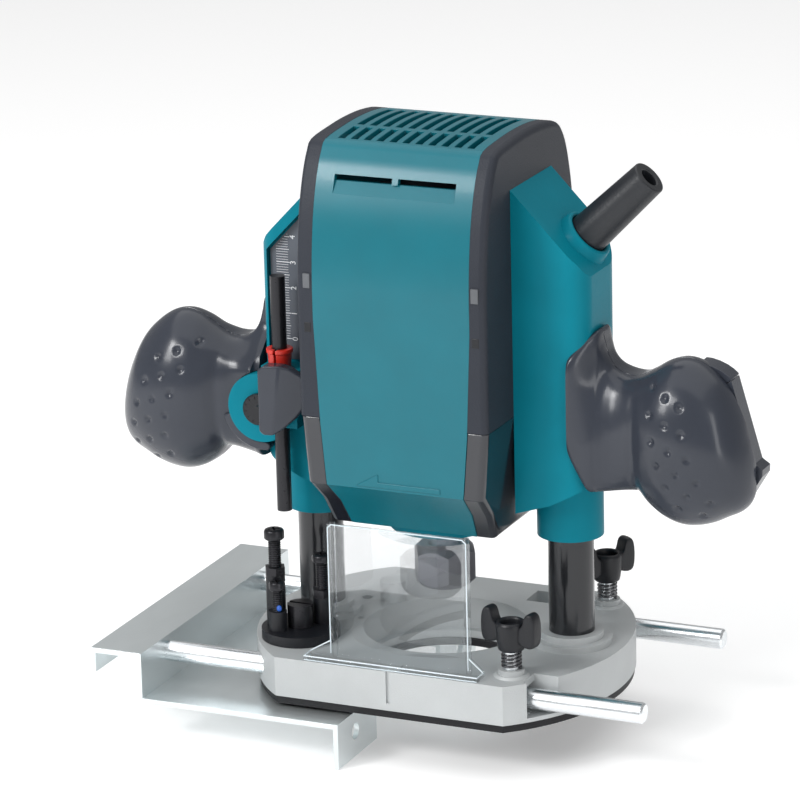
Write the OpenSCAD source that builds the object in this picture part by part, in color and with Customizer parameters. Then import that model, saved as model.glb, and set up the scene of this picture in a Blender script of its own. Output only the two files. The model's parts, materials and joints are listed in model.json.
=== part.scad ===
// Plunge router: a motor housing with two ball handles that slides on two posts
// fixed in a flat-fronted base, with a three-step depth turret and an edge fence.
// Millimetres. The origin is on the spindle axis at the underside of the sole,
// +X runs from handle to handle (cord side), +Y to the back and +Z up.

/* [Base] */
// Radius of the round sides of the base
base_r = 73; // [70:0.5:76]
// Half of the base depth between its flat front and back
base_half = 56; // [54:0.5:58]
// Height of the top of the casting above the bench
base_top = 18.5; // [17:0.5:20]
// Thickness of the plastic sole
sole_t = 3; // [2:0.5:4]
// Radius of the opening for the bit in the sole
bit_r = 28; // [20:0.5:30]
// Radius of the large opening in the casting
opening_r = 32; // [30:0.5:34]

/* [Plunge posts] */
// Distance of each post from the spindle axis
post_x = 52.2; // [51:0.1:54]
// Outside radius of a post
post_r = 8.75; // [8:0.05:9]
// Height of the top of each post
post_top = 132; // [126:1:134]

/* [Fence] */
// Distance of each guide rod from the spindle axis
rod_y = 42.7; // [42:0.1:43.5]
// Height of the guide rods
rod_z = 10.3; // [10:0.1:10.6]
// Radius of the guide rods
rod_r = 4; // [3.5:0.1:4]
// Half of the length of the fence
fence_half = 65.8; // [60:0.5:70]
// Sheet thickness of the fence
fence_t = 2; // [1.5:0.1:2.5]

/* [Turret] */
// Centre of the turret, across
turret_x = -47.5; // [-48:0.1:-47]
// Centre of the turret, front to back
turret_y = -30.5; // [-31:0.1:-30]
// Radius of the turret disc
turret_r = 15.1; // [14:0.1:15.2]
// Radius of the circle of stop screws
stop_circle = 9.6; // [9.5:0.1:9.8]

/* [Housing] */
// Half of the depth of the motor housing
house_half = 45; // [44:0.5:46]
// Half of the width of the motor housing with its side frames
frame_half = 38; // [37.5:0.1:38]
// Height of the top of the motor housing
house_top = 217; // [214:0.5:218]
// Wall thickness of the plastic shells
wall = 2.5; // [2:0.1:3]
// Outer side of the two post columns
column_out = 67; // [66:0.5:68]

/* [Handles] */
// Distance of the centre of each ball from the spindle axis
ball_x = 110.3; // [108:0.1:112]
// Place of the centre of each ball, front to back
ball_y = -7.6; // [-9:0.1:-6]
// Height of the centre of each ball
ball_z = 105.5; // [104:0.5:107]

/* [Collet] */
// Radius of the bit shank that the collet holds
shank_r = 4; // [3:0.05:4]
// Distance across the flats of the collet nut
nut_flats = 22; // [21:0.5:22]

/* [Hidden] */

$fn = 64;
eps = 0.01;
// radial play of a part that turns or slides in its bore
play = 0.05;

// turret: angle of each stop screw, and its boss, head and shank sizes
tall_angle = 189;
short_angle = 231;
mid_angle = 51;
disc_bottom = base_top + 0.1;
disc_top = disc_bottom + 4;
stop_shank_r = 2.5;
stop_bottom = 28;
tall_boss_top = 43;
mid_boss_top = 33;
short_boss_top = 30.5;
lock_nut_t = 3;

// depth pole, above the circle of stop screws
pole_angle = 145.5;
pole_x = turret_x + stop_circle * cos(pole_angle);
pole_y = turret_y + stop_circle * sin(pole_angle);
pole_r = 2.85;
pole_bottom = 66.8;
pole_top = 159.5;
shelf_top = 123;

// clamps of the guide rods, and the way their ears point
front_clamp = [45.1, -rod_y];
rear_clamp = [49.8, rod_y];
front_turn = -11;
rear_turn = 60;
stud_r = 3;
knob_bottom = 28.6;
knob_top = 44.8;
clamp_boss_top = 21.3;

// guide columns
column_in = 38.05;
column_half = 20;
bore_r = 9.4;
bore_top = 169.5;
collar_r = 12.7;
collar_bottom = 62;

// spindle
spindle_r = 6.3;
nut_bottom = 36;
nut_top = 52;
neck_bottom = 60;

// depth lever on the left column
lever_x = -65;
lever_z = 106;
hub_r = 6.1;
ring_r = 13.5;

module at(x, y, z = 0) translate([x, y, z]) children();

module both_sides() {
    children();
    mirror([1, 0, 0]) children();
}

module tube(outer, inner, bottom, top) {
    translate([0, 0, bottom])
        difference() {
            cylinder(r = outer, h = top - bottom);
            translate([0, 0, -1]) cylinder(r = inner, h = top - bottom + 2);
        }
}

// Flat outline in the XZ plane, extruded from front y to back y
module in_xz(front, back, outline) {
    translate([0, back, 0])
        rotate([90, 0, 0])
            linear_extrude(back - front) polygon(outline);
}

// ---------------------------------------------------------------- base

module base_outline(inset = 0) {
    intersection() {
        circle(r = base_r - inset, $fn = 128);
        square([2 * base_r, 2 * (base_half - inset)], center = true);
    }
}

module along_rods(radius) {
    for (side = [-1, 1])
        translate([-80, side * rod_y, rod_z])
            rotate([0, 90, 0]) cylinder(r = radius, h = 160);
}

module at_posts() {
    for (side = [-1, 1]) translate([side * post_x, 0, 0]) children();
}

sole_screw_places = [[-57, 30], [57, 30], [-22, -50], [40, -30]];

module base_casting() {
    color("silver") difference() {
        union() {
            translate([0, 0, sole_t]) linear_extrude(base_top - sole_t) base_outline();
            // stepped ring round the foot of each post
            at_posts() translate([0, 0, base_top - 1]) {
                cylinder(r = 15.4, h = 3.4);
                cylinder(r = 12.2, h = 6);
            }
            for (place = [front_clamp, rear_clamp]) at(place[0], place[1], base_top - 1) {
                cylinder(r1 = 7.6, r2 = 6, h = 2);
                cylinder(r = 5, h = clamp_boss_top - base_top + 1);
            }
            at(-31.4, 20, base_top - 1) cylinder(r = 5, h = 9);
        }
        translate([0, 0, -1]) cylinder(r = bit_r + 1, h = 40, $fn = 96);
        translate([0, 0, sole_t + 3]) cylinder(r = opening_r, h = 40, $fn = 96);
        along_rods(rod_r + play);
        // notch in the round side where the front rod comes out
        translate([52.3, -49.3, sole_t + 1.6]) cube([30, 10.9, 40]);
        // square mouth of the front bore, and the slot over the rear rod
        translate([49.8, -rod_y - 5.4, rod_z - 5.4]) cube([4, 9.7, 10.8]);
        translate([18, rod_y - 6.2, 5.6]) cube([20, 12.4, 40]);
        at_posts() {
            translate([0, 0, 8]) cylinder(r = post_r, h = 40);
            cylinder(r = stud_r, h = 20);
            translate([0, 0, -1]) cylinder(r = 5.4, h = 6.1);
        }
        for (place = [front_clamp, rear_clamp])
            at(place[0], place[1], rod_z) cylinder(r = stud_r + play, h = 30);
        at(turret_x, turret_y, 8) cylinder(r = stop_shank_r, h = 20);
        for (place = sole_screw_places) at(place[0], place[1], 0) cylinder(r = 1.8, h = 12);
        at(-41.9, 18.8, 8) cylinder(r = 2.2, h = 20);
        at(-34.4, -4, 8) cylinder(r = 1.4, h = 20);
        // groove that marks the spindle axis on the flat front
        translate([-0.7, -base_half - 1, sole_t + 2.8]) cube([1.4, 1.8, base_top]);
    }
}

module sole_plate() {
    color("dimgray") difference() {
        linear_extrude(sole_t) base_outline(inset = 0.6);
        translate([0, 0, -1]) cylinder(r = bit_r, h = 5, $fn = 96);
        at_posts() translate([0, 0, -1]) cylinder(r = 6.2, h = 5);
        for (place = sole_screw_places) {
            at(place[0], place[1], -1) cylinder(r = 1.8, h = 5);
            at(place[0], place[1], -eps) cylinder(r1 = 3.4, r2 = 1.8, h = 1.6);
        }
    }
}

module sole_screws() {
    color("gainsboro") for (place = sole_screw_places) at(place[0], place[1], 0.05) {
        cylinder(r1 = 3.3, r2 = 1.8, h = 1.5);
        cylinder(r = 1.8, h = 11);
    }
}

module post() {
    color([0.09, 0.09, 0.1]) difference() {
        translate([0, 0, 8]) cylinder(r = post_r, h = post_top - 8);
        translate([0, 0, 20]) cylinder(r = 6.2, h = post_top);
        translate([0, 0, 7]) cylinder(r = stud_r, h = 11);
    }
}

module post_bolts() {
    color("gray") at_posts() {
        translate([0, 0, 1]) difference() {
            cylinder(r = 5.3, h = 4);
            translate([0, 0, -1]) cylinder(r = 2.9, h = 3, $fn = 6);
        }
        translate([0, 0, 4]) cylinder(r = stud_r, h = 13);
    }
}

module chip_guard() {
    left = -26.5;
    right = 30.5;
    foot_left = -35;
    foot_right = 36.5;
    foot_t = 2;
    guard_top = 72;
    front = -55.5;
    panel_front = -49.5;
    panel_back = -47.5;
    gusset = 5;
    foot_top = base_top + foot_t;
    color([0.8, 0.87, 0.9, 0.4]) difference() {
        union() {
            translate([foot_left, front, base_top])
                cube([foot_right - foot_left, panel_back - front, foot_t]);
            translate([left, panel_front, base_top])
                cube([right - left, panel_back - panel_front, guard_top - base_top]);
            for (x = [left, right - foot_t])
                translate([x, panel_back - eps, base_top])
                    cube([foot_t, 1.6, guard_top - base_top]);
            in_xz(panel_front, panel_back,
                [[foot_left, foot_top], [left, foot_top], [left, foot_top + gusset]]);
            in_xz(panel_front, panel_back,
                [[right, foot_top + gusset], [right, foot_top], [foot_right, foot_top]]);
        }
        translate([-4.5, front + 1.6, 0]) cube([9, 3.2, 60]);
    }
}

module turret_pivot_screw() {
    color([0.12, 0.12, 0.13]) at(turret_x, turret_y) difference() {
        union() {
            translate([0, 0, 8.5]) cylinder(r = stop_shank_r, h = 20);
            translate([0, 0, base_top]) cylinder(r = 3, h = 6);
            translate([0, 0, disc_top + 0.1]) cylinder(r = 5, h = 9);
        }
        translate([-6, -0.7, disc_top + 7.6]) cube([12, 1.4, 4]);
    }
}

module clamp_springs() {
    color("gray") for (place = [front_clamp, rear_clamp])
        at(place[0], place[1])
            tube(outer = 4, inner = 3.2, bottom = clamp_boss_top, top = knob_bottom - 0.1);
}

// ---------------------------------------------------------------- depth turret

module at_stop(angle) {
    translate([turret_x + stop_circle * cos(angle), turret_y + stop_circle * sin(angle), 0])
        children();
}

module turret_block() {
    color([0.08, 0.08, 0.09]) difference() {
        union() {
            at(turret_x, turret_y, disc_bottom) cylinder(r = turret_r, h = disc_top - disc_bottom);
            at_stop(tall_angle) translate([0, 0, disc_bottom])
                cylinder(r = 3.7, h = tall_boss_top - disc_bottom);
            at_stop(mid_angle) translate([0, 0, disc_bottom])
                cylinder(r = 4, h = mid_boss_top - disc_bottom);
            at_stop(short_angle) translate([0, 0, disc_bottom])
                cylinder(r = 3.5, h = short_boss_top - disc_bottom);
        }
        at(turret_x, turret_y) cylinder(r = 3 + play, h = 40);
        // room for the head of the pivot screw between the bosses
        at(turret_x, turret_y, disc_top) cylinder(r = 5.2, h = 40);
        for (angle = [tall_angle, mid_angle])
            at_stop(angle) translate([0, 0, disc_bottom + 1]) cylinder(r = stop_shank_r + play, h = 60);
        at_stop(short_angle) translate([0, 0, disc_bottom + 1]) cylinder(r = 2 + play, h = 60);
    }
}

module stop_screw(bottom, head_bottom, head_top, head_r, shank_r) {
    difference() {
        union() {
            translate([0, 0, bottom]) cylinder(r = shank_r, h = head_bottom - bottom + 1);
            translate([0, 0, head_bottom]) cylinder(r = head_r, h = head_top - head_bottom);
        }
        translate([-5, -0.5, head_top - 1.2]) cube([10, 1, 3]);
    }
}

module stop_screw_short() {
    color([0.14, 0.14, 0.15]) at_stop(short_angle)
        stop_screw(bottom = 20, head_bottom = 38.6, head_top = 42.2, head_r = 3.1, shank_r = 2);
}

module stop_screw_mid() {
    color([0.14, 0.14, 0.15]) at_stop(mid_angle)
        stop_screw(stop_bottom, head_bottom = 46.8, head_top = 49.8, head_r = 3.75,
            shank_r = stop_shank_r);
}

module stop_screw_tall() {
    color([0.14, 0.14, 0.15]) at_stop(tall_angle)
        stop_screw(stop_bottom, head_bottom = 57, head_top = 61, head_r = 3.9,
            shank_r = stop_shank_r);
}

module stop_lock_nuts() {
    color([0.18, 0.18, 0.19]) for (stop = [[tall_angle, tall_boss_top], [mid_angle, mid_boss_top]])
        at_stop(stop[0]) translate([0, 0, stop[1]]) difference() {
            cylinder(r = 4.15, h = lock_nut_t, $fn = 6);
            translate([0, 0, -1]) cylinder(r = stop_shank_r + play, h = lock_nut_t + 2);
        }
}

// ---------------------------------------------------------------- rod clamps

module wing_knob(turn) {
    color([0.1, 0.1, 0.11]) difference() {
        union() {
            translate([0, 0, knob_bottom]) cylinder(r = 5.2, h = 11.6);
            for (side = [0, 180]) rotate([0, 0, turn + side]) in_xz(-2, 2,
                [[0, 31.4], [6, 30.6], [9.4, 31.4], [11.4, 34], [11.9, 38], [11.2, 42],
                 [9.6, 44.2], [7.6, knob_top], [5.8, 43.8], [4.6, 40.4], [0, 39]]);
        }
        translate([0, 0, knob_bottom - 1]) cylinder(r = stud_r, h = 9);
    }
}

module wing_stud() {
    color("silver") translate([0, 0, rod_z + rod_r + 0.1])
        cylinder(r = stud_r, h = knob_bottom + 8 - rod_z - rod_r - 0.1);
}

// ---------------------------------------------------------------- fence

fence_lip = -120.3;
web_x = -98.7;
plate_top = -1.6;
flange_x = -16.5;
channel_top = 16.5;
flange_bottom = -19.5;
flange_length = 35;
flange_hole_y = 50;
flange_hole_z = -9.5;
flange_hole_r = 3.2;

module fence_plate() {
    color([0.72, 0.74, 0.76]) difference() {
        union() {
            in_xz(-fence_half, fence_half,
                [[fence_lip, 6.7], [fence_lip, channel_top], [web_x, channel_top], [web_x, plate_top],
                 [flange_x, plate_top], [flange_x, plate_top - fence_t],
                 [web_x - fence_t, plate_top - fence_t], [web_x - fence_t, channel_top - fence_t],
                 [fence_lip + fence_t, channel_top - fence_t], [fence_lip + fence_t, 6.7]]);
            for (side = [-1, 1])
                translate([flange_x - fence_t, side > 0 ? fence_half - flange_length : -fence_half,
                    flange_bottom])
                    cube([fence_t, flange_length, plate_top - flange_bottom]);
        }
        // notch that leaves the bit free
        translate([-32, -fence_half + flange_length, -30])
            cube([40, 2 * (fence_half - flange_length), 29.9]);
        for (side = [-1, 1]) {
            translate([web_x - 5, side * rod_y, rod_z]) rotate([0, 90, 0]) cylinder(r = 2.55, h = 10);
            translate([flange_x - 5, side * flange_hole_y, flange_hole_z])
                rotate([0, 90, 0]) cylinder(r = flange_hole_r, h = 10);
        }
    }
}

module guide_rod() {
    color([0.8, 0.81, 0.82]) translate([web_x, 0, rod_z]) rotate([0, 90, 0]) difference() {
        union() {
            cylinder(r = rod_r, h = 196.2);
            translate([0, 0, 196.1]) cylinder(r1 = rod_r, r2 = rod_r - 0.8, h = 0.8);
        }
        translate([0, 0, -1]) cylinder(r = 2.5, h = 13);
    }
}

module rod_screws() {
    color("gainsboro") for (side = [-1, 1])
        translate([web_x - fence_t, side * rod_y, rod_z]) rotate([0, 90, 0]) {
            cylinder(r = 2.5, h = 12);
            rotate([0, 180, 0]) difference() {
                cylinder(r = 4, h = 3);
                translate([0, 0, 1.4]) cylinder(r = 2.2, h = 3, $fn = 6);
            }
        }
}

// ---------------------------------------------------------------- motor housing

// point of a smooth curve through the points p, a fraction t of the way after point i
function on_curve(p, i, t) =
    let (a = p[i - 1], b = p[i], c = p[i + 1], e = p[i + 2])
        b + t / 2 * (c - a + t * (2 * a - 5 * b + 4 * c - e + t * (3 * (b - c) + e - a)));

// the whole curve; its first and last points only give its direction there
function smooth_curve(p, steps) = concat(
    [for (i = [1 : len(p) - 3], k = [0 : steps - 1]) on_curve(p, i, k / steps)],
    [p[len(p) - 2]]);

// front, roof and back of the housing (front to back against height), set in by a wall
function roof_curve(d) = smooth_curve([
    [-house_half + d, 150], [-house_half + d, 162], [-44.2 + d, 175], [-42.4 + d, 188],
    [-39.8 + d, 198], [-36.6 + d, 206.2], [-33.4 + d, 211.6 - d / 2], [-29.4 + d, 215.2 - d],
    [-14, 216.6 - d], [0, house_top - d], [14, 216.4 - d], [27 - d, 214.4 - d],
    [33 - d, 210.6 - d / 2], [37.6 - d, 203], [41.6 - d, 190], [44 - d, 175],
    [house_half - d, 160], [house_half - d, 145]], 3);

// side view of the housing, set in by a wall
function side_view(d) = concat([[-house_half + d, 86 + d / 2]], roof_curve(d), [
    [house_half - d, 86 + d / 2], [35 - d, 76.8 + d / 2], [28 - d, 66 + d],
    [-28 + d, 66 + d], [-35 + d, 76.8 + d / 2]]);

module side_slab(d, left, right) {
    translate([left, 0, 0]) rotate([90, 0, 90]) linear_extrude(right - left) polygon(side_view(d));
}

// front view of the central covers, narrower towards the collet
cover_half = 31.6;
function cover_view(d) = [
    [-cover_half + d, 230], [-cover_half + d, 150], [-29.8 + d, 110], [-28 + d, 88],
    [-24 + d, 50], [24 - d, 50], [28 - d, 88], [29.8 - d, 110], [cover_half - d, 150],
    [cover_half - d, 230]];

module cover_block(d) {
    intersection() {
        side_slab(d, -40, 40);
        in_xz(-60, 60, cover_view(d));
    }
}

grille_front = -29;
grille_back = 22;
grille_floor = 211;

module cover_shell() {
    difference() {
        cover_block(0);
        cover_block(wall);
        translate([0, 0, 50]) cylinder(r = 21.2, h = 40);
    }
}

module front_cover() {
    color([0.07, 0.5, 0.55]) difference() {
        intersection() {
            cover_shell();
            translate([-60, -60, 50]) cube([120, 60 - eps, 180]);
        }
        translate([-60, grille_front, grille_floor - 5]) cube([120, 60, 40]);
        // two air slits side by side under the top edge, over a shallow scoop
        for (left = [-24.4, 1.2]) translate([left, -50, 201.9]) cube([23.2, 20, 2.4]);
        translate([-24.4, 0, 0]) rotate([90, 0, 90]) linear_extrude(48.8)
            polygon([[-45, 197.4], [-39.95, 197.4], [-37.1, 202], [-45, 202]]);
    }
}

module rear_cover() {
    color([0.07, 0.5, 0.55]) difference() {
        intersection() {
            cover_shell();
            translate([-60, eps, 50]) cube([120, 60, 180]);
        }
        translate([-60, -60, grille_floor - 5]) cube([120, 60 + grille_back, 40]);
        for (left = [-24.4, 1.2]) translate([left, 30, 196]) cube([23.2, 20, 2.4]);
    }
}

module top_grille() {
    slots = 11;
    pitch = 5.2;
    color([0.07, 0.5, 0.55]) difference() {
        intersection() {
            cover_block(0);
            translate([-40, grille_front, grille_floor - 5]) cube([80, grille_back - grille_front, 20]);
        }
        translate([-29, grille_front - 1, grille_floor - 10]) cube([58, 60, 12]);
        // a short row of slots over the front edge and a long one behind it
        for (i = [0:slots - 1], row = [[-27.5, 14.5], [-10.5, 29.5]])
            translate([(i - (slots - 1) / 2) * pitch - 1.4, row[0], grille_floor - 6])
                cube([2.8, row[1], 30]);
    }
}

frame_screw_x = 34.1;
frame_screw_z = [128, 172];
frame_screw_half = 43.2;

function frame_out(z) = z > 112 ? frame_half : frame_half - 4 * (112 - z) / 48;

// dark side frame: a cup with a rim that follows the housing's side view
module frame(low, high) {
    difference() {
        intersection() {
            side_slab(0, 20, frame_half);
            in_xz(-60, 60, [[20, low], [frame_out(low), low], [frame_out(112), max(low, 112)],
                [frame_out(112), 230], [20, 230]]);
            translate([0, -60, low]) cube([60, 120, high - low]);
        }
        cover_block(-0.05);
        side_slab(3, 10, frame_half - 2.6 - (low < 112 ? 4 : 0));
        if (low > 112) for (z = frame_screw_z) translate([frame_screw_x, -60, z]) rotate([-90, 0, 0]) {
            translate([0, 0, 60 - frame_screw_half]) cylinder(r = 1.5, h = 2 * frame_screw_half);
            translate([0, 0, 60 + frame_screw_half - 2]) cylinder(r = 2.3, h = 20);
        }
    }
}

module frame_right() {
    color([0.22, 0.23, 0.25]) frame(112.05, 230);
}

module side_cap_right() {
    color([0.1, 0.1, 0.12]) frame(62, 112);
}

// front view of a post column: slanted shoulder above, raised outer edge below
function column_view(d) = [
    [column_in + d, 74 + d], [column_in + d, 198.9 - d * 1.4], [40 + d, 196.9 - d * 1.4],
    [column_out - 3.4 - d, 172.4], [column_out - d, 167], [column_out - d, 86.5 + d], [52, 78.5 + d]];

// a tight corner at the front and a wide one at the back
module column_plan(d, front) {
    hull() {
        at(column_out - 8, front + 8) circle(r = 8 - d);
        at(column_out - 15, column_half - 15) circle(r = 15 - d);
        for (y = [front + d, column_half - d - 2]) at(column_in + d, y) square([2, 2]);
    }
}

module column_solid(d, front) {
    intersection() {
        translate([0, 0, 50]) linear_extrude(160) column_plan(d, front);
        in_xz(-60, 60, column_view(d));
    }
}

module column(front, cavity_front) {
    difference() {
        union() {
            difference() {
                column_solid(0, front);
                intersection() {
                    column_solid(wall, front);
                    translate([0, cavity_front, 0]) cube([100, 60, 220]);
                }
            }
            intersection() {
                union() {
                    column_solid(0, front);
                    translate([post_x, 0, collar_bottom]) cylinder(r = collar_r, h = 26);
                }
                translate([post_x, 0, collar_bottom])
                    cylinder(r = collar_r, h = bore_top + 2.5 - collar_bottom);
            }
        }
        translate([post_x, 0, 0]) cylinder(r = bore_r, h = bore_top);
    }
}

cord_start = [57.2, 0, 175.8];
cord_tilt = 46;
module along_cord() {
    translate(cord_start) rotate([0, cord_tilt, 0]) children();
}

module column_right() {
    color([0.07, 0.47, 0.52]) difference() {
        column(front = -column_half, cavity_front = -40);
        along_cord() cylinder(r = 8, h = 30);
    }
}

module column_left() {
    color([0.07, 0.47, 0.52]) difference() {
        union() {
            mirror([1, 0, 0]) column(front = -18.5, cavity_front = -11.5);
            // split boss that guides and clamps the depth pole
            translate([-60.2, -29.2, 101]) cube([13.2, 11, shelf_top - 101]);
            translate([-64, -24, 119]) cube([25, 6, shelf_top - 119]);
            translate([lever_x, -18, lever_z]) rotate([90, 0, 0]) cylinder(r = ring_r, h = 6);
        }
        // pocket for the depth scale
        in_xz(-40, -14, [[-63.5, shelf_top], [-63.5, 167], [-44, 187.2], [-30, 200], [-30, shelf_top]]);
        at(pole_x, pole_y, 60) cylinder(r = pole_r + play, h = 120);
        translate([lever_x, 0, lever_z]) rotate([90, 0, 0]) cylinder(r = stud_r + play, h = 40);
        translate([lever_x, -24.3, lever_z]) rotate([90, 0, 0]) cylinder(r = hub_r + 0.1, h = 20);
        translate([-post_x, 11.8 - play, lock_z]) rotate([-90, 0, 0]) cylinder(r = stud_r + play, h = 20);
    }
}

lock_z = 92;

module lock_lever() {
    color([0.1, 0.1, 0.11]) translate([-post_x, 0, lock_z]) difference() {
        union() {
            translate([0, 11.8, 0]) rotate([-90, 0, 0]) cylinder(r = stud_r, h = 12);
            translate([0, 23, 0]) rotate([-90, 0, 0]) cylinder(r = 7, h = 5.5);
            in_xz(23, 27.5, [[2, -7], [7, 0], [2, 7], [-4, 6], [-24, -6], [-27, -9], [-28, -13],
                [-26, -15.6], [-22, -15.4]]);
        }
        translate([0, 27, 0]) rotate([-90, 0, 0]) cylinder(r = 4, h = 3);
    }
}

module scale_plate() {
    color([0.42, 0.44, 0.48]) in_xz(-14.8, -14,
        [[-63, 124], [-63, 166.6], [-44.2, 186.2], [-39, 191], [-39, 124]]);
}

module bearing_neck() {
    color([0.07, 0.45, 0.5]) difference() {
        union() {
            translate([0, 0, neck_bottom]) cylinder(r = 21, h = 24);
            translate([0, 0, 80]) cylinder(r = 24.4, h = 4);
        }
        translate([0, 0, 50]) cylinder(r = spindle_r + 1.2, h = 40);
        translate([0, 0, 66]) cylinder(r = 14, h = 20);
    }
}

module top_bracket() {
    color("dimgray") difference() {
        union() {
            translate([0, 0, 186]) cylinder(r = 15, h = 13);
            translate([-29.05, -14, 186]) cube([58.1, 28, 3]);
        }
        translate([0, 0, 180]) cylinder(r = 9, h = 40);
        translate([0, 0, 188]) cylinder(r = 11, h = 20);
    }
}

// ---------------------------------------------------------------- handles

module lobe(x, y, z, across, height, d) {
    translate([x, y, z]) scale([1, 1, (height - d) / (across - d)]) sphere(r = across - d, $fn = 32);
}

// one handle blank: flange round the column, waist and a ball that leans outward
// at the bottom, set in by a wall
module handle_blank(d) {
    hull() {
        translate([60, -22.5 + d, 84 + d]) cube([1.5, 45 - 2 * d, 64 - 2 * d]);
        translate([60, -22.5 + d, 84 + d]) cube([9, 45 - 2 * d, 41 - d]);
        translate([60, -13 + d, 84 + d]) cube([10.5, 11 - 2 * d, 63 - 2 * d]);
        lobe(80, ball_y / 2, ball_z, 15.5, 22.5, d);
    }
    hull() {
        lobe(80, ball_y / 2, ball_z, 15.5, 22.5, d);
        lobe(ball_x - 6.3, ball_y, ball_z + 6.5, 20, 26, d);
        lobe(ball_x, ball_y, ball_z - 11.5, 19, 20.5, d);
    }
}

handle_screw_z = [95, 116];
handle_screw_seat = 7.5;

// switch lever behind the seam of the right ball, and its pin
pin_x = 117.5;
pin_z = 127;
pin_r = 1.2;
trigger_front = ball_y + 0.4;
trigger_back = ball_y + 9;

module along_y(x, z, front, back) {
    translate([x, back, z]) rotate([90, 0, 0]) linear_extrude(back - front) children();
}

// wraps: the half reaches round the face of the column on its side
module handle_half(back, lever_pocket, wraps) {
    difference() {
        intersection() {
            handle_blank(0);
            translate([50, back ? ball_y + eps : -60, 40]) cube([100, back ? 60 : 60 + ball_y - eps, 140]);
        }
        // hollow, with a boss left standing round each screw
        difference() {
            handle_blank(3);
            for (z = handle_screw_z) along_y(80, z, -60, 60) circle(r = 4.4);
        }
        translate([0, 0, 60]) linear_extrude(120) column_plan(-0.05, -column_half);
        for (z = handle_screw_z) {
            along_y(80, z, -15.6, 60) circle(r = 1.8 + play / 2);
            along_y(80, z, handle_screw_seat, 60) circle(r = 3.1);
        }
        if (!wraps) {
            translate([50, -60, 60]) cube([column_out + 0.05 - 50, 60, 120]);
            along_y(-lever_x, lever_z, -60, -17.9) circle(r = ring_r + 0.3);
        }
        if (lever_pocket) {
            if (back) in_xz(ball_y - 1, trigger_back + 0.4,
                [[114.6, 122], [114.6, 131.4], [125.5, 136], [140, 99], [138, 80], [118.2, 84],
                 [117.8, 98]]);
            if (back) along_y(pin_x, pin_z, ball_y - 1, trigger_back + 0.4) circle(r = 2.8);
            along_y(pin_x, pin_z, ball_y - 4.1, ball_y + 1) circle(r = pin_r + play);
        }
    }
}

module switch_lever() {
    color([0.1, 0.1, 0.12]) {
        in_xz(trigger_front, trigger_back,
            [[116.8, 128.6], [119.4, 130.4], [128.5, 99.4], [131.5, 97.4], [131.4, 94.8],
             [125.2, 84.4], [122.4, 86.6], [123.6, 93], [124.2, 99], [116.8, 124.6]]);
        along_y(pin_x, pin_z, trigger_front, trigger_back) circle(r = 2.2);
        along_y(pin_x, pin_z, ball_y - 4, trigger_front + 1) circle(r = pin_r);
    }
}

module handle_screws() {
    color("gray") both_sides() for (z = handle_screw_z)
        translate([80, handle_screw_seat, z]) rotate([90, 0, 0]) {
            cylinder(r = 1.8, h = 15.4 + handle_screw_seat);
            translate([0, 0, -1.6]) cylinder(r = 3, h = 1.6);
        }
}

module switch_body() {
    color([0.15, 0.15, 0.16]) translate([96, ball_y - 6, 92]) cube([16, 12, 26]);
}

module cord_guard() {
    color([0.12, 0.12, 0.13]) along_cord() difference() {
        union() {
            cylinder(r = 8, h = 3);
            translate([0, 0, 3 - eps]) cylinder(r1 = 8, r2 = 6.8, h = 36);
        }
        translate([0, 0, -1]) cylinder(r = 3.6, h = 60);
    }
}

// ---------------------------------------------------------------- inside the housing

module housing_screws() {
    color("gray") both_sides() for (z = frame_screw_z)
        translate([frame_screw_x, -frame_screw_half, z]) rotate([-90, 0, 0]) {
            cylinder(r = 1.5, h = 2 * frame_screw_half - 1);
            translate([0, 0, 2 * frame_screw_half - 2]) cylinder(r = 2.3, h = 1.4);
        }
}

module guide_bushes() {
    color([0.75, 0.6, 0.3]) at_posts() for (bottom = [collar_bottom, 108])
        tube(outer = bore_r, inner = post_r + play, bottom = bottom, top = bottom + 18);
}

module plunge_springs() {
    color("gray") at_posts() tube(outer = 5.6, inner = 4.2, bottom = 20.1, top = bore_top - 0.1);
}

module stator_core() {
    color([0.5, 0.5, 0.53]) difference() {
        intersection() {
            translate([0, 0, 108]) cylinder(r = 33, h = 40);
            translate([-27, -40, 100]) cube([54, 80, 60]);
        }
        translate([0, 0, 100]) cylinder(r = 20.4, h = 60);
    }
}

module field_coils() {
    color([0.7, 0.35, 0.15]) for (bottom = [100, 148])
        tube(outer = 26, inner = 21, bottom = bottom + 0.2, top = bottom + 7.8);
}

module brush_holders() {
    color([0.8, 0.65, 0.3]) for (turn = [0, 180]) rotate([0, 0, turn])
        translate([-4.5, 15, 160]) difference() {
            cube([9, 26.4, 11]);
            translate([1, -1, 1.2]) cube([7, 26, 8.6]);
        }
}

module carbon_brushes() {
    color([0.1, 0.1, 0.1]) for (turn = [0, 180]) rotate([0, 0, turn])
        translate([-3.4, 12.4, 161.3]) cube([6.8, 15, 8.4]);
}

module bearings() {
    color("silver") {
        tube(outer = 11, inner = 4 + play, bottom = 188, top = 196);
        tube(outer = 14, inner = spindle_r + play, bottom = 66, top = 77);
    }
}

module armature_shaft() {
    color([0.7, 0.7, 0.72]) difference() {
        union() {
            translate([0, 0, 46]) cylinder(r = spindle_r, h = 50);
            translate([0, 0, 95]) cylinder(r = 5, h = 60);
            translate([0, 0, 154]) cylinder(r = 4, h = 43);
        }
        translate([0, 0, 40]) cylinder(r = 5.6, h = 24);
    }
}

module armature_core() {
    color([0.45, 0.45, 0.48]) difference() {
        translate([0, 0, 106]) cylinder(r = 19.4, h = 44);
        translate([0, 0, 100]) cylinder(r = 5, h = 60);
        for (i = [0:11]) rotate([0, 0, i * 30]) translate([18, -1, 100]) cube([4, 2, 60]);
    }
}

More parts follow.
